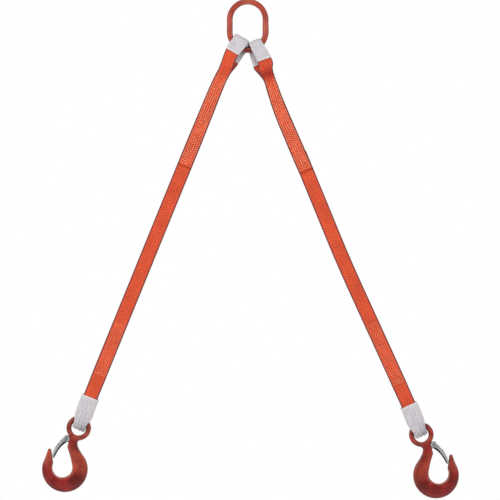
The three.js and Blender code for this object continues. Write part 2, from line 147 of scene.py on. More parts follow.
# Linear colours.
ORANGE = (0.80, 0.085, 0.028)
ORANGE_LIT = (1.0, 0.128, 0.038)
ORANGE_PALE = (0.88, 0.118, 0.060)
ORANGE_DEEP = (0.60, 0.045, 0.016)
ORANGE_EDGE_SHADE = (0.17, 0.030, 0.022)
ORANGE_SHADE = (0.36, 0.016, 0.010)
THREAD = (0.93, 0.46, 0.28)
THREAD_LIT = (1.0, 0.62, 0.42)
THREAD_TUFT = (0.85, 0.22, 0.10)
THREAD_SUNK = (0.85, 0.15, 0.06)
CLOTH_GREY = (0.60, 0.575, 0.60)
CLOTH_STREAK = (0.46, 0.44, 0.49)
CLOTH_STAIN = (0.70, 0.60, 0.60)
CLOTH_HEM_HIGHLIGHT = (0.85, 0.80, 0.78)
CLOTH_GRIME_AND_SHADE = (0.19, 0.18, 0.22)
LINK_RED = (0.46, 0.058, 0.030)
HOOK_RED = (0.30, 0.014, 0.009)
FADED_AND_LIT = (0.44, 0.070, 0.036)
WORN_AND_HIGHLIGHT = (0.50, 0.20, 0.11)
GRIME_AND_SHADE_RED = (0.17, 0.007, 0.008)
ZINC = (0.50, 0.52, 0.52)
ZINC_DARK = (0.012, 0.013, 0.016)
STEEL = (0.28, 0.29, 0.30)
STEEL_DARK = (0.01, 0.01, 0.012)

# The stage, in metres and watts: place, size and power of each softbox, and the floor below the sling.
SOFTBOXES = {
    "softbox_left": ((-3.3, -2.5, 0.9), (0.9, 2.4), 92),
    "softbox_right": ((3.4, -2.4, 0.6), (0.8, 2.2), 64),
    "softbox_top": ((0.0, -2.2, 2.6), (2.0, 1.0), 44),
    "softbox_back": ((0.8, 4.2, 1.4), (2.6, 2.0), 90),
}
AIM = (0.0, 0.0, -0.6)
WORLD_LIGHT = 0.22
FLOOR = {"z": -1.7, "radius": 4.6, "around": 96, "glow": 0.22}
CAMERA = {"x": 0.0055, "z": -0.589, "distance": 6.0, "frame": 1.2, "sensor_mm": 36.0}


def scaled(share, colour):
    return tuple(share * c for c in colour)


# ---- materials ----

class Term:
    """A number or colour in a material's node tree, with arithmetic for numbers."""

    def __init__(self, graph, socket):
        self.graph, self.socket = graph, socket

    def __add__(self, other):
        return self.graph.math("ADD", self, other)

    def __sub__(self, other):
        return self.graph.math("SUBTRACT", self, other)

    def __mul__(self, other):
        return self.graph.math("MULTIPLY", self, other)

    def wave(self, period, phase=0.0):
        """A sine of this number, from 0 to 1."""
        return (self.graph.math("SINE", self * (2 * math.pi / period) + phase) + 1.0) * 0.5

    def ramp(self, low, high):
        """0 below low, 1 above high, and smooth between them; low may be above high."""
        node = self.graph.node("ShaderNodeMapRange", {"Value": self}, interpolation_type="SMOOTHSTEP")
        low_to, high_to = (0.0, 1.0) if low < high else (1.0, 0.0)
        limits = {"From Min": min(low, high), "From Max": max(low, high), "To Min": low_to, "To Max": high_to}
        for socket, value in limits.items():
            node.inputs[socket].default_value = value
        return Term(self.graph, node.outputs["Result"])


class Graph:
    """A material with a Principled shader, built from short calls."""

    def __init__(self, name, **sockets):
        self.material = bpy.data.materials.new(name)
        self.material.use_nodes = True
        self.tree = self.material.node_tree
        self.shader = self.tree.nodes["Principled BSDF"]
        for socket, value in sockets.items():
            self.shader.inputs[socket.replace("_", " ")].default_value = value

    def node(self, kind, inputs=None, **settings):
        node = self.tree.nodes.new(kind)
        for name, value in settings.items():
            setattr(node, name, value)
        for key, value in (inputs or {}).items():
            self.feed(node.inputs[key], value)
        return node

    def feed(self, socket, value):
        if isinstance(value, Term):
            self.tree.links.new(value.socket, socket)
        elif isinstance(value, bpy.types.NodeSocket):
            self.tree.links.new(value, socket)
        elif isinstance(value, tuple) and len(value) == 3 and socket.type == "RGBA":
            socket.default_value = (*value, 1.0)
        else:
            socket.default_value = value

    def math(self, operation, a, b=0.0):
        return Term(self, self.node("ShaderNodeMath", {0: a, 1: b}, operation=operation).outputs[0])

    def attribute(self, name):
        return Term(self, self.node("ShaderNodeAttribute", attribute_name=name).outputs["Fac"])

    def noise(self, scale_per_m, detail=3.0, stretch=(1, 1, 1)):
        place = self.node("ShaderNodeTexCoord").outputs["Object"]
        mapped = self.node("ShaderNodeMapping", {"Vector": place, "Scale": stretch})
        inputs = {"Vector": mapped.outputs[0], "Scale": scale_per_m, "Detail": detail}
        return Term(self, self.node("ShaderNodeTexNoise", inputs).outputs["Fac"])

    def mix(self, share, a, b):
        node = self.node("ShaderNodeMix", {0: share, 6: a, 7: b}, data_type="RGBA", clamp_factor=True)
        return Term(self, node.outputs[2])

    def mix_number(self, share, a, b):
        node = self.node("ShaderNodeMix", {0: share, 2: a, 3: b}, data_type="FLOAT")
        return Term(self, node.outputs[0])

    def finish(self, colour, roughness=None, height=None, strength=1.0):
        """The material. Height is in millimetres."""
        self.feed(self.shader.inputs["Base Color"], colour)
        if roughness is not None:
            self.feed(self.shader.inputs["Roughness"], roughness)
        if height is not None:
            bump = self.node("ShaderNodeBump", {"Height": height, "Distance": MM, "Strength": strength})
            self.feed(self.shader.inputs["Normal"], bump.outputs["Normal"])
        return self.material


def webbing_material():
    g = Graph("polyester_webbing", Sheen_Weight=0.15, Sheen_Roughness=0.5, Specular_IOR_Level=0.3)
    across, along = g.attribute("across"), g.attribute("along")
    reach = g.math("ABSOLUTE", across)
    column = g.math("FLOOR", (across + RIB["offset"]) * (1 / RIB["column"]))
    odd = g.math("MODULO", g.math("ABSOLUTE", column), 2.0)
    rib = (along + odd * (RIB["pitch"] / 2)).wave(RIB["pitch"])
    groove = across.wave(RIB["column"], math.pi / 2)
    middle = reach.ramp(RIB["band"] + 1.0, RIB["band"] - 1.0)
    pick = (along + across * 0.25).wave(1.2)
    yarn = across.wave(0.85)
    blotch = g.noise(28.0, 2.0).ramp(0.3, 0.7)
    fibre = g.noise(2600.0, 2.0)
    plain = g.attribute("plain")
    # Painted light and shade of the woven ribs: crests lighter and between them darker, over random blotches.
    lit = g.mix_number(plain, rib * middle * 0.8, 0.45) + blotch * 0.2
    colour = g.mix(lit, scaled(0.40, ORANGE), ORANGE_LIT)
    colour = g.mix(g.math("SUBTRACT", 1.0, middle) * 0.6, colour, ORANGE_PALE)
    # Painted shade in the grooves between the rib columns.
    colour = g.mix(groove.ramp(0.12, 0.0) * middle * 0.5, colour, ORANGE_DEEP)
    colour = g.mix(pick * 0.16, colour, ORANGE_DEEP)
    # Painted shade in the web's creases and above its necks; at a splice tail's cut end, its melted edge and
    # painted shadow.
    colour = g.mix(g.attribute("shade"), colour, ORANGE_SHADE)
    # Painted shade: the web's rounded edges are painted dark.
    colour = g.mix(reach.ramp(WEB["half"] - 4.2, WEB["half"] - 2.4) * 0.92, colour, ORANGE_EDGE_SHADE)
    height = rib * middle * 0.10 + pick * 0.12 + yarn * 0.07 + fibre * 0.05
    return g.finish(colour, fibre * 0.2 + 0.72, height, 0.9)


def sleeve_material():
    g = Graph("wear_sleeve_fabric", Sheen_Weight=0.2, Sheen_Roughness=0.5, Specular_IOR_Level=0.25)
    across, along = g.attribute("across"), g.attribute("along")
    weave = g.attribute("weave")
    hatch = (along + across).wave(4.6) * (along - across).wave(4.6)
    fine = along.wave(1.1) * across.wave(1.0)
    streak = g.noise(70.0, 1.0, (1, 1, 0.25)).ramp(0.35, 0.7)
    stain = g.noise(22.0, 2.0).ramp(0.35, 0.75)
    colour = g.mix(hatch * weave, scaled(0.95, CLOTH_GREY), scaled(1.34, CLOTH_GREY))
    colour = g.mix(streak * 0.32, colour, CLOTH_STREAK)
    colour = g.mix(stain * 0.20, colour, CLOTH_STAIN)
    # Painted highlight along each hem.
    colour = g.mix(g.attribute("shade") * 0.4, colour, CLOTH_HEM_HIGHLIGHT)
    # Soiling and painted shade.
    colour = g.mix(g.attribute("grime"), colour, CLOTH_GRIME_AND_SHADE)
    height = hatch * weave * 0.35 + fine * 0.015 + g.noise(3000.0, 2.0) * 0.015
    return g.finish(colour, streak * 0.1 + 0.8, height, 0.8)


def thread_material():
    g = Graph("sewing_thread", Sheen_Weight=0.2, Specular_IOR_Level=0.35, Roughness=0.6)
    twist = g.attribute("along").wave(0.8)
    tuft = g.noise(150.0, 2.0).ramp(0.35, 0.65)
    colour = g.mix(twist * 0.4, THREAD, THREAD_LIT)
    colour = g.mix(tuft * 0.75, colour, THREAD_TUFT)
    colour = g.mix(g.attribute("dull"), colour, THREAD_SUNK)
    return g.finish(colour, None, twist * 0.06, 0.7)


def paint_material(name, red, deep, worn_and_lit_edge):
    """Satin paint over a forged skin: faded in places and given painted light, thinned to brown where it rubs
    and at its edges, which also carry a painted highlight, and darkened by soiling and painted shade.
    """
    g = Graph(name, Coat_Weight=0.1, Coat_Roughness=0.25, Specular_IOR_Level=0.35)
    cloud = g.noise(38.0, 3.0).ramp(0.35, 0.65)
    streak = g.noise(120.0, 3.0, (1, 1, 0.3)).ramp(0.4, 0.7)
    skin = g.noise(420.0, 4.0)
    grain = g.noise(1700.0, 3.0)
    edge = Term(g, g.node("ShaderNodeNewGeometry").outputs["Pointiness"]).ramp(0.51, 0.57)
    # The link's even fade, and on the hook painted light on its upper cheeks, arm and ring.
    faded = g.attribute("fade") * (cloud * 0.25 + streak * 0.40 + 0.40)
    # Wear and painted highlight: rubbed patches, and edges and the hook's saddle rim painted light brown.
    wear_and_highlight = g.math("MAXIMUM", edge * worn_and_lit_edge, g.attribute("rub")) * (skin.ramp(0.35, 0.6) * 0.6 + 0.4)
    colour = g.mix(cloud, deep, red)
    colour = g.mix(faded, colour, FADED_AND_LIT)
    colour = g.mix(streak * 0.25, colour, deep)
    colour = g.mix(skin.ramp(0.60, 0.72) * 0.3, colour, scaled(0.5, deep))
    colour = g.mix(wear_and_highlight, colour, WORN_AND_HIGHLIGHT)
    # Soiling and painted shade.
    colour = g.mix(g.attribute("grime"), colour, GRIME_AND_SHADE_RED)
    height = skin * 0.20 + grain * 0.05
    return g.finish(colour, cloud * 0.10 + wear_and_highlight * 0.15 + 0.30, height, 0.9)


def zinc_material():
    g = Graph("zinc_plate", Metallic=0.85)
    spangle = g.noise(260.0, 2.0).ramp(0.35, 0.65)
    brushed = g.noise(900.0, 3.0, (1, 1, 0.12))
    colour = g.mix(spangle, scaled(0.85, ZINC), scaled(1.25, ZINC))
    colour = g.mix(g.attribute("shade"), colour, ZINC_DARK)
    return g.finish(colour, brushed * 0.2 + 0.28, brushed * 0.05 + spangle * 0.03, 0.6)


def steel_material():
    g = Graph("drawn_steel", Metallic=0.9)
    grain = g.noise(1200.0, 3.0)
    colour = g.mix(grain, scaled(0.8, STEEL), scaled(1.3, STEEL))
    colour = g.mix(g.attribute("shade"), colour, STEEL_DARK)
    return g.finish(colour, grain * 0.15 + 0.26, grain * 0.03, 0.6)


# ---- meshes ----

def set_attribute(obj, key, values):
    layer = obj.data.attributes.new(key, "FLOAT", "POINT")
    layer.data.foreach_set("value", np.ascontiguousarray(values, np.float32))


def mesh_object(name, points, faces, material, attributes=None):
    """A smooth-shaded object from points in millimetres, with an attribute's values point for point."""
    points = np.asarray(points, float).reshape(-1, 3)
    mesh = bpy.data.meshes.new(name)
    mesh.from_pydata((points * MM).tolist(), [], [tuple(f) for f in faces])
    mesh.shade_smooth()
    mesh.materials.append(material)
    obj = bpy.data.objects.new(name, mesh)
    bpy.context.scene.collection.objects.link(obj)
    for key, values in (attributes or {}).items():
        set_attribute(obj, key, values)
    return obj


def quads(here, there, around, flip):
    """Faces between two rings of points, whose first points are here and there."""
    faces = [(here + k, here + (k + 1) % around, there + (k + 1) % around, there + k) for k in range(around)]
    return [f[::-1] for f in faces] if flip else faces


def tube_faces(rings, around, first=0, closed=False, flip=False):
    """Quads between rings of points, each ring `around` points long."""
    faces = []
    for i in range(rings if closed else rings - 1):
        faces += quads(first + i * around, first + (i + 1) % rings * around, around, flip)
    return faces


def facing_out(points, faces):
    """A closed body's faces, all turned round if the volume that they enclose is negative."""
    points = points - points.mean(0)
    volume = 0.0
    for face in faces:
        corner = points[face[0]]
        for a, b in zip(face[1:-1], face[2:]):
            volume += float(np.dot(corner, np.cross(points[a], points[b])))
    return [f[::-1] for f in faces] if volume < 0 else faces


def loft_faces(rings, closed=False):
    """Faces of a body through rings of points, with flat ends unless it closes on itself."""
    count, around = rings.shape[:2]
    faces = tube_faces(count, around, closed=closed)
    if not closed:
        faces.append(tuple(range(around))[::-1])
        faces.append(tuple((count - 1) * around + k for k in range(around)))
    return facing_out(rings.reshape(-1, 3), faces)


def spread(attributes, shape):
    """Each attribute's values, one for each point of a body of this shape."""
    return {key: np.broadcast_to(values, shape).ravel() for key, values in attributes.items()}


def loft(name, rings, material, attributes, closed=False):
    """A body through rings of points, shaped (rings, around, 3)."""
    return mesh_object(name, rings, loft_faces(rings, closed), material, spread(attributes, rings.shape[:2]))


def shell(name, outer, inner, material, attributes):
    """A tube with a wall: outer and inner rings of the same shape, joined at both ends."""
    count, around = outer.shape[:2]
    faces = tube_faces(count, around) + tube_faces(count, around, first=count * around, flip=True)
    for ring, flip in ((0, True), (count - 1, False)):
        faces += quads(ring * around, (count + ring) * around, around, flip)
    points = np.concatenate([outer.reshape(-1, 3), inner.reshape(-1, 3)])
    both = {key: np.tile(values, 2) for key, values in spread(attributes, outer.shape[:2]).items()}
    return mesh_object(name, points, facing_out(points, faces), material, both)


def remeshed(obj, voxel, smoothing):
    """Fuses the object's overlapping parts and rounds its edges."""
    fuse = obj.modifiers.new("fuse", "REMESH")
    fuse.mode, fuse.voxel_size, fuse.use_smooth_shade = "VOXEL", voxel * MM, True
    soften = obj.modifiers.new("soften", "SMOOTH")
    soften.factor, soften.iterations = 0.5, smoothing
    bpy.context.view_layer.update()
    evaluated = obj.evaluated_get(bpy.context.evaluated_depsgraph_get())
    mesh = bpy.data.meshes.new_from_object(evaluated)
    obj.modifiers.clear()
    mesh.materials.clear()
    mesh.materials.append(obj.data.materials[0])
    mesh.shade_smooth()
    obj.data = mesh


def vertices_of(obj):
    co = np.zeros(len(obj.data.vertices) * 3)
    obj.data.vertices.foreach_get("co", co)
    return co.reshape(-1, 3) / MM


def smoothstep(x, low, high):
    t = np.clip((np.asarray(x, float) - low) / (high - low), 0, 1)
    return t * t * (3 - 2 * t)


def outline(around, exponent=2):
    """Both coordinates of points round a unit outline: a circle at exponent 2, and squarer above it."""
    angle = np.linspace(0, 2 * math.pi, around, endpoint=False)
    return [np.sign(way) * np.abs(way) ** (2 / exponent) for way in (np.cos(angle), np.sin(angle))]


def curve_through(pairs, x):
    """A smooth curve through (place, value) pairs, flat beyond its ends."""
    places, values = np.array(pairs, float).T
    slopes = np.gradient(values, places)
    i = np.clip(np.searchsorted(places, x) - 1, 0, len(places) - 2)
    span = places[i + 1] - places[i]
    t = np.clip((x - places[i]) / span, 0, 1)
    level = (2 * t**3 - 3 * t**2 + 1) * values[i] + (3 * t**2 - 2 * t**3) * values[i + 1]
    return level + (t**3 - 2 * t**2 + t) * span * slopes[i] + (t**3 - t**2) * span * slopes[i + 1]


# ---- the legs' lines ----

def joint_place(name):
    place = np.array(joints[name]["pos_m"], float) / MM
    place[1] = 0.0
    return place


class Leg:
    """The line that a leg hangs in. s runs down it from the middle of the link's bar."""

    def __init__(self, name):
        self.name = name
        self.__dict__.update(LEGS[name])
        parts = ("leg_spread", "leg_swing", "leg_fold", "hook_swing")
        stops = [joint_place(f"{name}_{part}") for part in parts]
        steps = np.diff(stops, axis=0)
        lengths = np.linalg.norm(steps, axis=1)
        tilts = np.arctan2(self.side * steps[:, 0], -steps[:, 2])
        self.neck, self.fold, self.bar = np.cumsum(lengths)
        self.s = np.arange(-80.0, self.bar + 80.0, 0.5)
        tilt = tilts[0] + (tilts[1] - tilts[0]) * smoothstep(self.s, self.neck - 30, self.neck + 30)
        tilt += (tilts[2] - tilts[1]) * smoothstep(self.s, self.fold - 90, self.fold + 90)
        self.tilt = tilt
        share = np.clip(self.s / self.bar, 0, 1)
        self.x, self.z = np.cumsum(self.side * np.sin(tilt) * 0.5), np.cumsum(-np.cos(tilt) * 0.5)
        for line, k in ((self.x, 0), (self.z, 2)):
            line += stops[0][k] - np.interp(0, self.s, line)
            line += share * (stops[3][k] - np.interp(self.bar, self.s, line))
        self.low_start = self.bar + EYE["bar"] - self.low_neck
        self.crease_at = self.neck - 16.0

    def at(self, s):
        """The line's point, its direction across to +X, and its direction down."""
        s = np.asarray(s, float)
        tilt = np.interp(s, self.s, self.tilt)
        centre = np.stack([np.interp(s, self.s, self.x), 0 * s, np.interp(s, self.s, self.z)], -1)
        across = np.stack([np.cos(tilt), 0 * s, self.side * np.sin(tilt)], -1)
        down = np.stack([self.side * np.sin(tilt), 0 * s, -np.cos(tilt)], -1)
        return centre, across, down

    def point_m(self, s):
        return tuple(self.at(s)[0] * MM)

    def width(self, s):
        """The web's half-width: pinched at the neck, full below."""
        return curve_through(self.half, s)

    def shift(self, s, front):
        return self.side * curve_through(self.front if front else self.back, s)

    def low_shift(self, s):
        """The lower web hangs a little outward of the line, and meets it again at the ring."""
        near = smoothstep(s, self.fold, self.low_start) * smoothstep(s, self.bar, self.bar - 40)
        return self.side * 1.4 * near

    def ply_y(self, s, front):
        """How far a ply stands off the mid-plane: spread round the link's bar, together below the neck."""
        y = TOP["radius"] + (WEB["ply"] - TOP["radius"]) * smoothstep(s, TOP["parallel"], self.neck - 4)
        return -y if front else y

    def low_ply_y(self, s, front):
        """The same at the lower eye: together at its neck, and clear of the ring's bar below it."""
        spread_at = self.bar + LOW["drop"] - LOW["parallel"]
        y = WEB["ply"] + (LOW["radius"] - WEB["ply"]) * smoothstep(s, self.low_start + 4, spread_at)
        return -y if front else y


def sweep(leg, s, y, shift, across, lift):
    """Points of a strip that follows (s, y) in the leg's frame. across and lift, shaped (rings, around), are
    along its width and off its middle. Lift points away from the link's bar, and toward the hook's ring."""
    centre, wide, down = leg.at(s)
    ds, dy = np.gradient(s), np.gradient(y)
    size = np.hypot(ds, dy)
    normal = (-dy / size)[:, None] * down + (ds / size)[:, None] * Y_AXIS
    middle = centre + y[:, None] * Y_AXIS + shift[:, None] * wide
    return middle[:, None, :] + across[..., None] * wide[:, None, :] + lift[..., None] * normal[:, None, :]


def path_length(s, y):
    return np.concatenate([[0.0], np.cumsum(np.hypot(np.diff(s), np.diff(y)))])


def points_at(path, at):
    """Points of a path, shaped (points, 2), at distances along it."""
    run = path_length(*path.T)
    return np.stack([np.interp(at, run, column) for column in path.T], -1)


def resample(s, y, step):
    """The path (s, y) with its points evenly apart."""
    run = path_length(s, y)
    even = np.linspace(0, run[-1], max(2, int(round(run[-1] / step)) + 1))
    return np.interp(even, run, s), np.interp(even, run, y)


def brick_ribs(along, across):
    """Height of the woven ribs, 0 to 1: crosswise bumps whose neighbours are half a pitch apart."""
    odd = np.abs(np.floor((across + RIB["offset"]) / RIB["column"])) % 2
    rib = 0.5 + 0.5 * np.sin(2 * math.pi * (along + odd * RIB["pitch"] / 2) / RIB["pitch"])
    middle = 1 - smoothstep(np.abs(across), RIB["band"] - 1.0, RIB["band"] + 1.0)
    return rib * middle


def web_rings(half, along, cup=None, ripple=None):
    """across, lift and the nominal place across of a web's outline, for rings of the given half-widths."""
    thick = WEB["thick"]
    flat = np.linspace(-1, 1, COLUMNS)
    turn = np.radians([60.0, 20.0, -20.0, -60.0])
    side = np.concatenate([flat, np.full(4, 1.0), flat[::-1], np.full(4, -1.0)])
    round_out = np.concatenate([np.zeros(COLUMNS), np.cos(turn), np.zeros(COLUMNS), -np.cos(turn)])
    face = np.concatenate([np.ones(COLUMNS), np.sin(turn), -np.ones(COLUMNS), -np.sin(turn)])
    across = side[None, :] * (half[:, None] - thick) + round_out[None, :] * thick
    nominal = np.broadcast_to(side * (WEB["half"] - thick) + round_out * thick, across.shape)
    lift = np.broadcast_to(face * thick, across.shape).copy()
    ribs = brick_ribs(along[:, None], nominal) * RIB["height"]
    lift += np.where(np.abs(face) > 0.99, np.sign(face), 0)[None, :] * ribs
    edge = np.abs(nominal) / WEB["half"]
    if cup is not None:
        lift += cup[:, None] * (1 - edge**2)
    if ripple is not None:
        lift += ripple(along[:, None], nominal)
    return across, lift, nominal


def web_piece(name, leg, s, y, shift, half, shade=0.0, plain=0.0, cup=None, ripple=None):
    """A length of webbing along (s, y), and its flat size in metres. plain is where the ribs' painted light
    and shade are left out.
    """
    along = path_length(s, y)
    across, lift, nominal = web_rings(half, along, cup, ripple)
    attributes = {"across": nominal, "along": along[:, None]}
    attributes |= {"shade": np.reshape(shade, (-1, 1)), "plain": np.reshape(plain, (-1, 1))}
    obj = loft(name, sweep(leg, s, y, shift, across, lift), webbing, attributes)
    return obj, (2 * WEB["half"] * MM, (along[-1] - along[0]) * MM)


def over_fold(front_end, fold_at, back_end, radius, ply_y, down):
    """The path (s, y) from the front ply's end, over a half-round fold, to the back ply's end. down is 1
    where the plies hang below the fold, and -1 where they rise above it."""
    front_s = np.linspace(front_end, fold_at, 60)
    angle = np.linspace(0, math.pi, 41)[1:-1]
    fold_s, fold_y = fold_at - down * radius * np.sin(angle), -radius * np.cos(angle)
    back_s = np.linspace(fold_at, back_end, 60)
    s = np.concatenate([front_s, fold_s, back_s])
    y = np.concatenate([ply_y(front_s, True), fold_y, ply_y(back_s, False)])
    return s, y


def sleeve_wrinkles(along, x, seed):
    """Heights of the wrinkles along a sleeve and of the faint ones across it."""
    rng = random.Random(seed)
    phases = [rng.uniform(0, 2 * math.pi) for _ in range(6)]
    drift = (0.9 * np.sin(along / 13 + phases[0]) + 0.6 * np.sin(along / 7.5 + phases[1]))[:, None]
    lengthwise = sum(
        height * np.sin(2 * math.pi * (x + wander * drift) / pitch + phase)
        for (height, pitch, wander), phase in zip(WRINKLES, phases[2:4])
    )
    crosswise = 0.30 * np.sin(along / 3.1 + phases[4])[:, None] * np.cos(x / 7 + phases[5])
    return lengthwise, crosswise


def sleeve_piece(name, leg, s, y, shift, half, puff, weave, look, seed):
    """A woven tube round one ply of web, and its flat size in metres. It is a soft flat oval with hemmed ends
    and lengthwise wrinkles."""
    out_x, out_lift = (way[None, :] for way in outline(72, SLEEVE["square"]))
    along = path_length(s, y)
    to_end = np.minimum(along, along[-1] - along)
    half_hem = SLEEVE["hem"] / 2
    hem = SLEEVE["hem_rise"] * smoothstep(-np.abs(to_end - half_hem), -half_hem, -half_hem + 0.9)
    x = out_x * half[:, None]
    wrinkle, cross = sleeve_wrinkles(along, x, seed)
    gather = 1 + 2.5 * (1 - half / half.max())
    calm = (smoothstep(to_end, 1.0, SLEEVE["hem"] + 3) * gather)[:, None]
    near_metal = np.where(out_lift * look["metal_side"] > 0, 0.1, 1.0)
    folds = np.maximum(look["creased"] * (wrinkle + cross) * calm, -0.3) * near_metal
    folds = np.sign(out_lift) * out_lift**2 * folds
    thick = (SLEEVE["half_thick"] + puff + hem)[:, None]
    outer = sweep(leg, s, y, shift, x + hem[:, None] * out_x, out_lift * thick + folds)
    wall = SLEEVE["wall"]
    inner_x = x * ((half - wall) / half)[:, None]
    inner = sweep(leg, s, y, shift, inner_x, out_lift * (thick - wall) + folds)
    # Painted shade in the wrinkles' valleys; soiling and painted shade in the sleeve's middle, darker toward
    # one side.
    valley_shade = 0.16 * look["creased"] * smoothstep(-wrinkle, 0.1, 0.8) * smoothstep(to_end, 2, 9)[:, None]
    middle = np.exp(-(((along - along[-1] / 2) / 26.0) ** 2))[:, None]
    grime = look["grime"] * middle * (0.35 + 0.65 * smoothstep(x, -6, 14)) + valley_shade
    attributes = {
        "across": out_x * 20.0, "along": along[:, None], "weave": weave, "grime": np.clip(grime, 0, 1),
        # painted highlight on the hems
        "shade": smoothstep(hem, 0, SLEEVE["hem_rise"])[:, None],
    }
    obj = shell(name, outer, inner, wear_cloth, attributes)
    girth = 2 * 2 * float(half.mean()) + 4 * SLEEVE["half_thick"] * 0.3
    return obj, (girth * MM, float(along[-1]) * MM)


# ---- stitching ----

def racetrack(length, half, corner, pitch):
    """Middles (s, x) and directions of the stitches round a long loop with rounded corners."""
    corners = (
        (corner, corner - half, math.pi), (corner, half - corner, 1.5 * math.pi),
        (length - corner, half - corner, 0.0), (length - corner, corner - half, 0.5 * math.pi),
    )
    path = []
    for centre_s, centre_x, start in corners:
        for a in np.linspace(start, start + math.pi / 2, 7):
            path.append((centre_s + corner * math.sin(a), centre_x + corner * math.cos(a)))
    path = np.array([*path, path[0]])
    total = path_length(*path.T)[-1]
    count = int(total // pitch)
    middle = (np.arange(count) + 0.5) * total / count
    places, ahead = points_at(path, middle), points_at(path, middle + 0.4)
    heads = ahead - places
    return places, heads / np.linalg.norm(heads, axis=1)[:, None]


def stitch_loop(leg, start, end, face, inset, rng):
    """One loop of stitches on a face of the web: their points, shaped (stitches, rings, around, 3), how far
    along its stitch each ring lies, and which stitches lie above the row at the loop's lower end."""
    from_edge = inset - STITCH["insets"][0]
    length = end - start - 2 * from_edge
    corner = min(STITCH["corner"], WEB["half"] - inset - 0.2)
    places, heads = racetrack(length, WEB["half"] - inset, corner, STITCH["pitch"])
    places = places + rng.uniform(-0.45, 0.45, places.shape)
    lean = rng.uniform(-0.12, 0.12, len(places))[:, None]
    heads = heads + lean * np.stack([-heads[:, 1], heads[:, 0]], -1)
    reach = STITCH["length"] * BEAD[:, 0]
    s = start + from_edge + places[:, :1] + reach * heads[:, :1]
    x = places[:, 1:] + reach * heads[:, 1:]
    centre, wide, down = leg.at(s)
    upper = s < leg.fold
    x = x * np.where(upper, leg.width(s) / WEB["half"], 1.0) + np.where(upper, leg.shift(s, face < 0), 0.0)
    height = WEB["ply"] + WEB["thick"] + RIB["height"] * 0.45 + 0.25 * BEAD[:, 1]
    middle = centre + x[..., None] * wide + (face * height)[None, :, None] * Y_AXIS
    side = heads[:, None, 1:] * down - heads[:, None, :1] * wide
    cosine, sine = (way[:, None] for way in outline(STITCH["around"]))
    turned = cosine * side[:, :, None, :] + 0.8 * sine * Y_AXIS
    points = middle[:, :, None, :] + (STITCH["radius"] * BEAD[:, 1])[None, :, None, None] * turned
    return points, reach, places[:, 0] < length - STITCH["corner"]


def thread_piece(name, leg, start, end, sunk, seed):
    """Stitches on both faces of a doubled web, in nested loops. sunk is their share of the web's colour."""
    rng = np.random.default_rng(seed)
    every_point, every_face, looks = [], [], []
    first = 0
    for face in (-1, 1):
        for inset in STITCH["insets"]:
            points, reach, above = stitch_loop(leg, start, end, face, inset, rng)
            faces = loft_faces(points[0])
            for base in range(first, first + points[..., 0].size, points[0, ..., 0].size):
                every_face.extend(tuple(base + i for i in f) for f in faces)
            first += points[..., 0].size
            every_point.append(points.reshape(-1, 3))
            look = {"along": reach[:, None], "dull": (sunk * above)[:, None, None]}
            looks.append(spread(look, points.shape[:3]))
    attributes = {key: np.concatenate([look[key] for look in looks]) for key in ("along", "dull")}
    obj = mesh_object(name, np.concatenate(every_point), every_face, thread, attributes)
    return obj


# ---- metal ----

def link_line(run):
    """The rod's middle and its outward direction, at a run round the link from its right shoulder."""
    arc = math.pi * LINK["bend"]
    lower, at = divmod(run, arc + LINK["high"] - LINK["low"])
    turn = lower * math.pi + min(at / LINK["bend"], math.pi)
    past = max(0.0, at - arc)
    level = LINK["low"] + past if lower else LINK["high"] - past
    out = np.array([math.cos(turn), 0, math.sin(turn)])
    return out * LINK["bend"] + np.array([0, 0, level]), out


def master_link():
    """The forged link, with its weld on the right side, rubbed at the crown, and darkened at the bar by
    soiling and painted shade.
    """
    steps = 300
    total = 2 * (math.pi * LINK["bend"] + LINK["high"] - LINK["low"])
    cosine, sine = outline(METAL_AROUND)
    rings, rub, grime = [], [], []
    for i in range(steps):
        centre, out = link_line(total * i / steps)
        from_weld = centre[2] - WELD["z"]
        weld = math.exp(-((from_weld / WELD["spread"]) ** 2)) if centre[0] > 0 else 0.0
        swell = WELD["swell"] + WELD["ring"] * math.cos(2 * math.pi * from_weld / WELD["pitch"])
        ways = cosine[:, None] * out + sine[:, None] * Y_AXIS
        rings.append(centre + (LINK["rod"] + weld * swell) * ways)
        inside = np.maximum(0.0, -cosine)
        seat = max(0.0, centre[2] - 2.0) / 5.0
        # Soiling and painted shade on the bar, between the sleeves.
        bar = max(0.0, -centre[2] - 100.0) / 6.0
        rub.append(0.75 * inside * seat + 0.35 * weld)
        grime.append([0.9 * min(1.0, bar)])
    attributes = {"rub": rub, "fade": 0.4, "grime": grime}
    obj = loft("master_link_forged", np.array(rings), link_paint, attributes, closed=True)
    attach(obj, "link")
    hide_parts("master_link")


class HookFrame:
    """Where a hook's drawing lies: v outward to its tip, u down from the middle of its eye, y to the back."""

    def __init__(self, leg):
        axis = np.array(joints[f"{leg.name}_hook_swing"]["axis"], float)
        axis *= math.copysign(1.0, axis[0])
        self.outward = leg.side * axis
        self.down = np.array([axis[2], 0.0, -axis[0]])
        centre, _, down = leg.at(leg.bar)
        self.origin = centre + EYE["bar"] * down

    def place(self, points):
        """From (v, u, y) to the row frame."""
        return self.origin + points @ np.array([self.outward, self.down, Y_AXIS])


def arc_points(circle, start, end, count):
    a = np.radians(np.linspace(start, end, count))
    return np.stack([circle["v"] + circle["r"] * np.cos(a), circle["u"] + circle["r"] * np.sin(a)], -1)


def quadratic(a, b, c, count):
    t = np.linspace(0, 1, count)[:, None]
    return (1 - t) ** 2 * np.array(a) + 2 * t * (1 - t) * np.array(b) + t**2 * np.array(c)


def even(points, count):
    return points_at(points, np.linspace(0, path_length(*points.T)[-1], count))


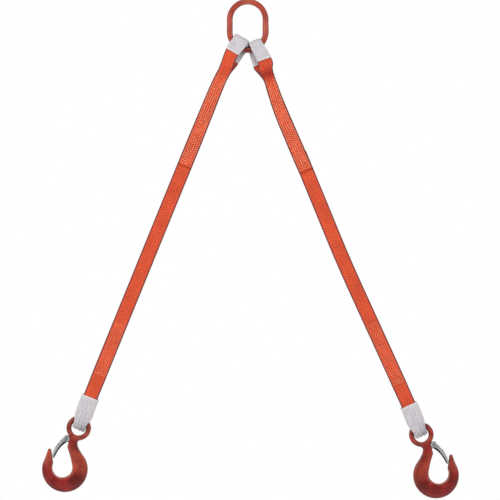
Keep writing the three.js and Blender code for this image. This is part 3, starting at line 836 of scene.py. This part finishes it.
def hook_sides():
    """The hook's inner and outer edges from the neck to the tip, point for point."""
    centre = np.array([BOWL["v"], BOWL["u"]])
    to_bowl = np.array([BACK["v"], BACK["u"]]) - centre
    angles = np.radians(np.linspace(BOWL["from"], BOWL["to"], 46))
    ways = np.stack([np.cos(angles), np.sin(angles)], -1)
    reach = ways @ to_bowl + np.sqrt((ways @ to_bowl) ** 2 + BACK["r"] ** 2 - to_bowl @ to_bowl)
    bowl, back = centre + BOWL["r"] * ways, centre + reach[:, None] * ways
    shoulder_end = math.degrees(math.atan2(back[0, 1] - BACK["u"], back[0, 0] - BACK["v"])) % 360
    shoulder = arc_points(BACK, BACK["from"], shoulder_end, 16)
    throat = quadratic(THROAT["ledge"], THROAT["pull"], bowl[0], 24)
    neck_in = np.concatenate([[THROAT["root"], THROAT["lip"]], throat])
    neck_out = np.concatenate([quadratic(NECK["root"], NECK["pull"], shoulder[0], 24), shoulder[1:]])
    tip_in, tip_top = arc_points(TIP, -150, -90, 2)
    arm_in = np.concatenate([quadratic(bowl[-1], TIP["pull"], tip_in, 20), [tip_top]])
    arm_out = np.concatenate([[back[-1]], arc_points(BACK, -2, -8, 3), arc_points(TIP, 0, -90, 7)])
    inner = np.concatenate([even(neck_in, 26)[:-1], bowl, even(arm_in, 22)[1:]])
    outer = np.concatenate([even(neck_out, 26)[:-1], back, even(arm_out, 22)[1:]])
    return inner, outer


def hook_body():
    """Rings of the forged body, from the neck round the bowl to the tip."""
    inner, outer = hook_sides()
    places = np.arange(len(inner))
    half_thick = curve_through([*BODY_THICK, (places[-1], TIP["thick"])], places)
    out, lift = outline(METAL_AROUND, 3.3)
    middle, arm = (inner + outer) / 2, (outer - inner) / 2
    return np.dstack([middle[:, None, :] + out[:, None] * arm[:, None, :], lift * half_thick[:, None]])


def hook_eye():
    """Rings of the eye, round its hole."""
    steps = 96
    mid, wide = (EYE["hole"] + EYE["outer"]) / 2, (EYE["outer"] - EYE["hole"]) / 2
    out, lift = outline(METAL_AROUND)
    turn = 2 * math.pi * np.arange(steps) / steps
    way = np.stack([np.cos(turn), np.sin(turn)], -1)[:, None, :]
    return np.dstack([way * mid + out[:, None] * wide * way, np.tile(lift * EYE["thick"], (steps, 1))])


def hook_lug():
    """Rings of the rounded lug that carries the latch's pin."""
    out, lift = outline(METAL_AROUND, 3.2)
    share = np.linspace(-1, 1, 13)[:, None]
    end = np.sqrt(np.maximum(0.0, 1 - np.abs(share) ** 4))
    v = LUG["v"] + LUG["reach"] * share + 0 * out
    u = LUG["u"] - LUG["lean"] * share + out * LUG["half"] * end
    return np.dstack([v, u, lift * LUG["thick"] * np.maximum(end, 0.05)])


def hook_mesh():
    """The forged hook in its own drawing: body, eye and lug, fused and softened."""
    every_point, every_face = [], []
    base = 0
    for rings, closed in ((hook_body(), False), (hook_eye(), True), (hook_lug(), False)):
        every_face.extend(tuple(base + k for k in f) for f in loft_faces(rings, closed))
        every_point.append(rings.reshape(-1, 3))
        base += rings[..., 0].size
    obj = mesh_object("hook_drawing", np.concatenate(every_point), every_face, hook_paint)
    remeshed(obj, VOXEL, 5)
    drawing = vertices_of(obj)
    polygons = [tuple(p.vertices) for p in obj.data.polygons]
    bpy.data.objects.remove(obj)
    return drawing, polygons


def hook_piece(leg, drawing, polygons):
    """The painted hook: rubbed in saddle and eye with a painted highlight on the saddle's rim, painted light
    on cheeks, arm and ring, and soiling and painted shade below and round the pin.
    """
    hook = HookFrame(leg)
    v, u, _ = drawing.T
    from_bowl = np.hypot(v - BOWL["v"], u - BOWL["u"])
    # The saddle's rim: worn paint and a painted highlight.
    saddle = smoothstep(from_bowl, BOWL["r"] + 3.6, BOWL["r"] + 1.0) * (u > 78)
    eye_rub = smoothstep(np.hypot(v, u), EYE["hole"] + 1.8, EYE["hole"] + 0.4) * (u < 0)
    # Painted light: the upper cheeks, the arm and the ring are mixed toward a lighter red.
    cheek = smoothstep(u, *ZONE["cheek_foot"]) * smoothstep(u, *ZONE["cheek_top"]) * (v < 20)
    arm = smoothstep(v, *ZONE["arm_side"]) * smoothstep(u, *ZONE["arm_foot"])
    ring = 0.8 * smoothstep(u, *ZONE["ring"])
    round_pin = smoothstep(np.abs(u - PIN["u"]), 10, 2) * smoothstep(v, 4, 10)
    attributes = {
        "rub": np.maximum(0.8 * saddle, 0.4 * eye_rub),
        "fade": leg.faded * np.maximum(np.maximum(cheek, arm), ring),
        # soiling and painted shade under the bowl and round the pin
        "grime": 0.35 * smoothstep(u, *ZONE["underside"]) + 0.25 * round_pin,
    }
    faces = polygons
    if np.dot(np.cross(hook.outward, hook.down), Y_AXIS) < 0:
        faces = [f[::-1] for f in polygons]
    obj = mesh_object(f"{leg.name}_hook_forged", hook.place(drawing), faces, hook_paint, attributes)
    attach(obj, f"{leg.name}_hook")
    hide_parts(f"{leg.name}_hook")


def pin_piece(leg):
    """A rivet turned from (radius, y) pairs, with domed heads, each with a drilled middle."""
    grip, head, dome = PIN["grip"], PIN["head"], PIN["dome"]
    half = [
        (0.05, grip + 0.2), (1.5, grip + 0.2), (1.9, grip + dome * 0.9), (3.0, grip + dome * 0.85),
        (4.1, grip + dome * 0.55), (head, grip + 0.35), (head, grip), (PIN["r"], grip), (PIN["r"], grip / 2),
    ]
    radius, y = np.array(half + [(r, -y) for r, y in half[::-1]]).T[..., None]
    cosine, sine = outline(METAL_AROUND)
    rings = np.dstack([PIN["v"] + radius * cosine, PIN["u"] + radius * sine, y + 0 * sine])
    # Painted shade: the drilled middle of each head is dark.
    shade = {"shade": radius < PIN["drilled"]}
    obj = loft(f"{leg.name}_pin_rivet", HookFrame(leg).place(rings), pin_steel, shade)
    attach(obj, f"{leg.name}_hook")
    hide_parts(f"{leg.name}_latch_pin")


def wire(name, points, radius, material):
    """A round wire along points in the row frame."""
    section = np.stack(outline(10), -1)
    tangent = np.gradient(points, axis=0)
    tangent /= np.linalg.norm(tangent, axis=1)[:, None]
    rings = []
    side = np.cross(tangent[0], Y_AXIS + np.array([0.3, 0, 0.1]))
    for point, way in zip(points, tangent):
        side = side - np.dot(side, way) * way
        side /= np.linalg.norm(side)
        rings.append(point + radius * section @ np.array([side, np.cross(way, side)]))
    return loft(name, np.array(rings), material, {"shade": 0.0})


def spring_pieces(leg):
    """The latch spring: its coils stay with the hook, and its long leg goes with the latch it presses."""
    hook = HookFrame(leg)
    turns, pitch, coil = SPRING["turns"], SPRING["pitch"], SPRING["coil"]
    angle = np.linspace(0, 2 * math.pi * turns, 90)
    y = SPRING["side"] + SPRING["wire"] + pitch * angle / (2 * math.pi)
    helix = np.stack([PIN["v"] + coil * np.cos(angle), PIN["u"] - coil * np.sin(angle), y], -1)
    coils = wire(f"{leg.name}_spring_coils", hook.place(helix), SPRING["wire"], pin_steel)
    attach(coils, f"{leg.name}_hook")
    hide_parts(f"{leg.name}_latch_spring")
    straight = helix[0] + np.linspace(0, 1, 16)[:, None] * np.array(SPRING["leg"])
    arm = wire(f"{leg.name}_spring_arm", hook.place(straight), SPRING["wire"], pin_steel)
    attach(arm, f"{leg.name}_latch")


def latch_piece(leg):
    """The pressed latch: the CAD solid's shape with its bends rounded, crowned, and with painted shade inside
    its fold.
    """
    hook = HookFrame(leg)
    node = frame["nodes"][f"{leg.name}_latch"]
    obj = bpy.data.objects.new(f"{leg.name}_latch_pressed", node.data.copy())
    bpy.context.scene.collection.objects.link(obj)
    obj.data.materials.clear()
    obj.data.materials.append(zinc)
    remeshed(obj, 0.42, 4)
    local = vertices_of(obj) - hook.origin
    v, u = local @ hook.outward, local @ hook.down
    t = np.clip((u - PIN["u"]) / LATCH["length"], 0, 1)
    middle = PIN["v"] + (LATCH["tip_v"] - PIN["v"]) * t + LATCH["bow"] * np.sin(math.pi * t)
    half = LATCH["root"] + (LATCH["tip"] - LATCH["root"]) * np.sqrt(t)
    crown = 0.3 * np.sin(math.pi * t) * np.maximum(v - middle, 0)
    moved = vertices_of(obj) + crown[:, None] * hook.outward
    obj.data.vertices.foreach_set("co", (moved * MM).ravel())
    below = (middle - v) / half
    set_attribute(obj, "shade", smoothstep(below, 0.15, 0.45) * smoothstep(u, PIN["u"] + 3, PIN["u"] + 8))
    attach(obj, f"{leg.name}_latch")
    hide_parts(f"{leg.name}_latch")


# ---- the soft pieces of a leg ----

def crease_ripple(leg):
    """Crosswise creases where the web is pinched at its neck. along starts at the top of the front ply."""
    def ripple(along, across):
        window = np.exp(-(((along + TAIL_TOP - leg.crease_at) / 12.0) ** 2))
        return leg.crease * 2.0 * window * np.sin(2 * math.pi * (along + 0.22 * across) / 6.4)
    return ripple


def top_path(leg, front_end, back_end, step):
    """A path over the top eye's fold, and how far it is shifted across: each ply by its own twist."""
    s, y = over_fold(front_end, -leg.slack, back_end, TOP["radius"], leg.ply_y, 1)
    s, y = resample(s, y, step)
    twist = np.where(y < 0, leg.shift(s, True), leg.shift(s, False))
    return s, y, twist * smoothstep(np.abs(y), 0, TOP["radius"] * 0.8)


def top_eye_pieces(leg):
    name = leg.name
    s, y, shift = top_path(leg, 14.0, 34.0, 1.2)
    eye, flat = web_piece(f"{name}_eye_web_woven", leg, s, y, shift, curve_through(leg.sleeve, s) - 2.6)
    leg.point_m(-10)
    leg.point_m(15)
    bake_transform(eye)
    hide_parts(f"{name}_top_eye_web")

    s, y, shift = top_path(leg, leg.sleeve_front, leg.sleeve_back, 1.0)
    half = curve_through(leg.sleeve, s)
    puff = -0.75 * smoothstep(-s, -12.0, 2.0)
    sleeve, flat = sleeve_piece(
        f"{name}_top_sleeve_woven", leg, s, y, shift, half, puff, 0.1, TOP_LOOK, 11 + leg.side,
    )
    leg.point_m(-10)
    leg.point_m(15)
    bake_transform(sleeve)
    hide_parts(f"{name}_top_wear_sleeve")


def upper_leg_pieces(leg):
    """The splice's tail down the front, the main ply behind it, and the sewing through both."""
    name = leg.name
    tail_end = leg.neck + leg.splice
    s = np.arange(TAIL_TOP, tail_end, 0.8)
    # Painted shade: dark in the creases where the web is pinched at its neck and a little above the neck, and
    # a dark band at the tail's cut end that is its melted edge and painted shadow of its step.
    pinched = np.exp(-(((s - leg.neck + 10) / 13.0) ** 2))
    shade = 0.62 * leg.crease * pinched + 0.10 * smoothstep(s, leg.neck + 5, leg.neck - 12)
    shade += 0.7 * smoothstep(s, tail_end - 3, tail_end)
    tail, tail_flat = web_piece(
        f"{name}_tail_woven", leg, s, leg.ply_y(s, True), leg.shift(s, True), leg.width(s),
        shade=np.clip(shade, 0, 1), plain=smoothstep(s, leg.neck + 8, leg.neck - 8),
        cup=-0.9 * np.exp(-(((s - leg.neck) / 40.0) ** 2)), ripple=crease_ripple(leg),
    )
    s = np.arange(MAIN_TOP, MAIN_SPLIT, 0.8)
    # Painted shade on the main ply above the neck.
    shade = 0.30 * smoothstep(s, leg.neck + 5, leg.neck - 12)
    main, main_flat = web_piece(
        f"{name}_main_woven", leg, s, leg.ply_y(s, False), leg.shift(s, False), leg.width(s), shade=shade,
    )
    for obj, flat, node in ((tail, tail_flat, "upper_splice_tail"), (main, main_flat, "upper_strap")):
        leg.point_m(leg.neck - 24)
        leg.point_m(leg.neck + 36)
        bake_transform(obj)
        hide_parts(f"{name}_{node}")
    rows = thread_piece(f"{name}_upper_thread", leg, leg.neck + 4, tail_end - 7, 0.0, 21)
    leg.point_m(leg.neck - 24)
    leg.point_m(leg.neck + 36)
    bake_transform(rows)
    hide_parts(f"{name}_upper_stitching")


def lower_leg_pieces(leg):
    """The long web, its bottom sleeve and its sewing. The web crosses from the back ply to the front between
    the splices, goes down round the hook's ring, and comes up the back as the lower splice's tail."""
    name = leg.name
    fold_at = leg.bar + LOW["drop"]
    tail_end = leg.low_start - leg.low_splice
    s, y = over_fold(leg.low_start - 20, fold_at, leg.low_start - 20, LOW["radius"], leg.low_ply_y, -1)
    run = np.linspace(MAIN_SPLIT, tail_end, 60)
    crossing = WEB["ply"] * (1 - 2 * smoothstep(run, MAIN_SPLIT + 20, MAIN_SPLIT + 140))
    s, y = np.concatenate([run, s, [tail_end]]), np.concatenate([crossing, y, [WEB["ply"]]])
    s, y = resample(s, y, 0.8)
    squeeze = smoothstep(s, leg.bar - 42, leg.bar - 2)
    half = WEB["half"] + 0.5 - 0.6 * smoothstep(s, leg.low_start, leg.low_start + 50) - 5.4 * squeeze
    web, flat = web_piece(f"{name}_leg_woven", leg, s, y, leg.low_shift(s), half)
    leg.point_m(leg.fold - 45)
    leg.point_m(leg.fold + 45)
    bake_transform(web)
    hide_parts(f"{name}_lower_strap")

    end = leg.bar + EYE["bar"] - leg.low_sleeve
    s, y = over_fold(end, fold_at, end, LOW["radius"], leg.low_ply_y, -1)
    s, y = resample(s, y, 1.0)
    wide = 1 - smoothstep(s, leg.bar - 13, leg.bar + LOW["drop"] + LOW["radius"] / 2)
    half = 15.6 + 5.4 * wide
    puff = -0.2 * smoothstep(s, leg.bar - 16, leg.bar - 4)
    sleeve, flat = sleeve_piece(
        f"{name}_bottom_sleeve_woven", leg, s, y, leg.low_shift(s), half, puff, leg.low_weave, LOW_LOOK,
        31 + leg.side,
    )
    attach(sleeve, f"{name}_leg_end")
    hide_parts(f"{name}_bottom_wear_sleeve")

    rows = thread_piece(f"{name}_lower_thread", leg, tail_end + 6, leg.low_start - 2, 0.55, 22)
    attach(rows, f"{name}_leg_end")
    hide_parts(f"{name}_lower_stitching")


# ---- stage ----

def area_light(name, place, size, power):
    """A soft lamp that looks at the sling's middle."""
    lamp = bpy.data.lights.new(name, "AREA")
    lamp.shape, lamp.size, lamp.size_y, lamp.energy = "RECTANGLE", *size, power
    obj = bpy.data.objects.new(name, lamp)
    bpy.context.scene.collection.objects.link(obj)
    obj.location = place
    obj.rotation_euler = (Vector(AIM) - Vector(place)).to_track_quat("-Z", "Y").to_euler()


def world_light():
    """White where the camera looks past the sling, and a weak fill light on everything."""
    world = bpy.data.worlds.new("studio")
    bpy.context.scene.world = world
    world.use_nodes = True
    tree = world.node_tree
    tree.nodes.clear()
    kinds = ("LightPath", "MixShader", "OutputWorld")
    path, mix, out = (tree.nodes.new(f"ShaderNode{kind}") for kind in kinds)
    tree.links.new(path.outputs["Is Camera Ray"], mix.inputs[0])
    for socket, strength in ((1, WORLD_LIGHT), (2, 1.0)):
        white = tree.nodes.new("ShaderNodeBackground")
        white.inputs["Color"].default_value = (1, 1, 1, 1)
        white.inputs["Strength"].default_value = strength
        tree.links.new(white.outputs[0], mix.inputs[socket])
    tree.links.new(mix.outputs[0], out.inputs["Surface"])


def stage():
    bpy.context.scene.view_settings.view_transform = "Standard"
    world_light()
    for name, (place, size, power) in SOFTBOXES.items():
        area_light(name, place, size, power)
    around, radius, level = FLOOR["around"], FLOOR["radius"] / MM, FLOOR["z"] / MM
    turn = 2 * math.pi * np.arange(around) / around
    ring = np.stack([radius * np.cos(turn), radius * np.sin(turn), np.full(around, level)], -1)
    faces = [(0, 1 + k, 1 + (k + 1) % around) for k in range(around)]
    g = Graph("studio_floor", Roughness=0.9, Emission_Color=(1, 1, 1, 1), Emission_Strength=FLOOR["glow"])
    material = g.finish(g.mix(g.noise(6.0, 2.0), (0.86, 0.86, 0.86), (0.90, 0.90, 0.90)))
    floor = mesh_object("studio_floor", [(0, 0, level), *ring], faces, material)


def camera():
    data = bpy.data.cameras.new("catalogue_camera")
    data.sensor_width = CAMERA["sensor_mm"]
    data.lens = data.sensor_width * CAMERA["distance"] / CAMERA["frame"]
    obj = bpy.data.objects.new("catalogue_camera", data)
    bpy.context.scene.collection.objects.link(obj)
    obj.location = (CAMERA["x"], -CAMERA["distance"], CAMERA["z"])
    obj.rotation_euler = (math.pi / 2, 0, 0)
    bpy.context.scene.camera = obj


camera()
webbing = webbing_material()
wear_cloth = sleeve_material()
thread = thread_material()
link_paint = paint_material("link_paint_red", LINK_RED, scaled(0.62, LINK_RED), 0.5)
hook_paint = paint_material("hook_paint_red", HOOK_RED, scaled(0.40, HOOK_RED), 0.8)
zinc = zinc_material()
pin_steel = steel_material()

master_link()
drawing, polygons = hook_mesh()
for leg_name in LEGS:
    leg = Leg(leg_name)
    hook_piece(leg, drawing, polygons)
    pin_piece(leg)
    spring_pieces(leg)
    latch_piece(leg)
    top_eye_pieces(leg)
    upper_leg_pieces(leg)
    lower_leg_pieces(leg)
stage()
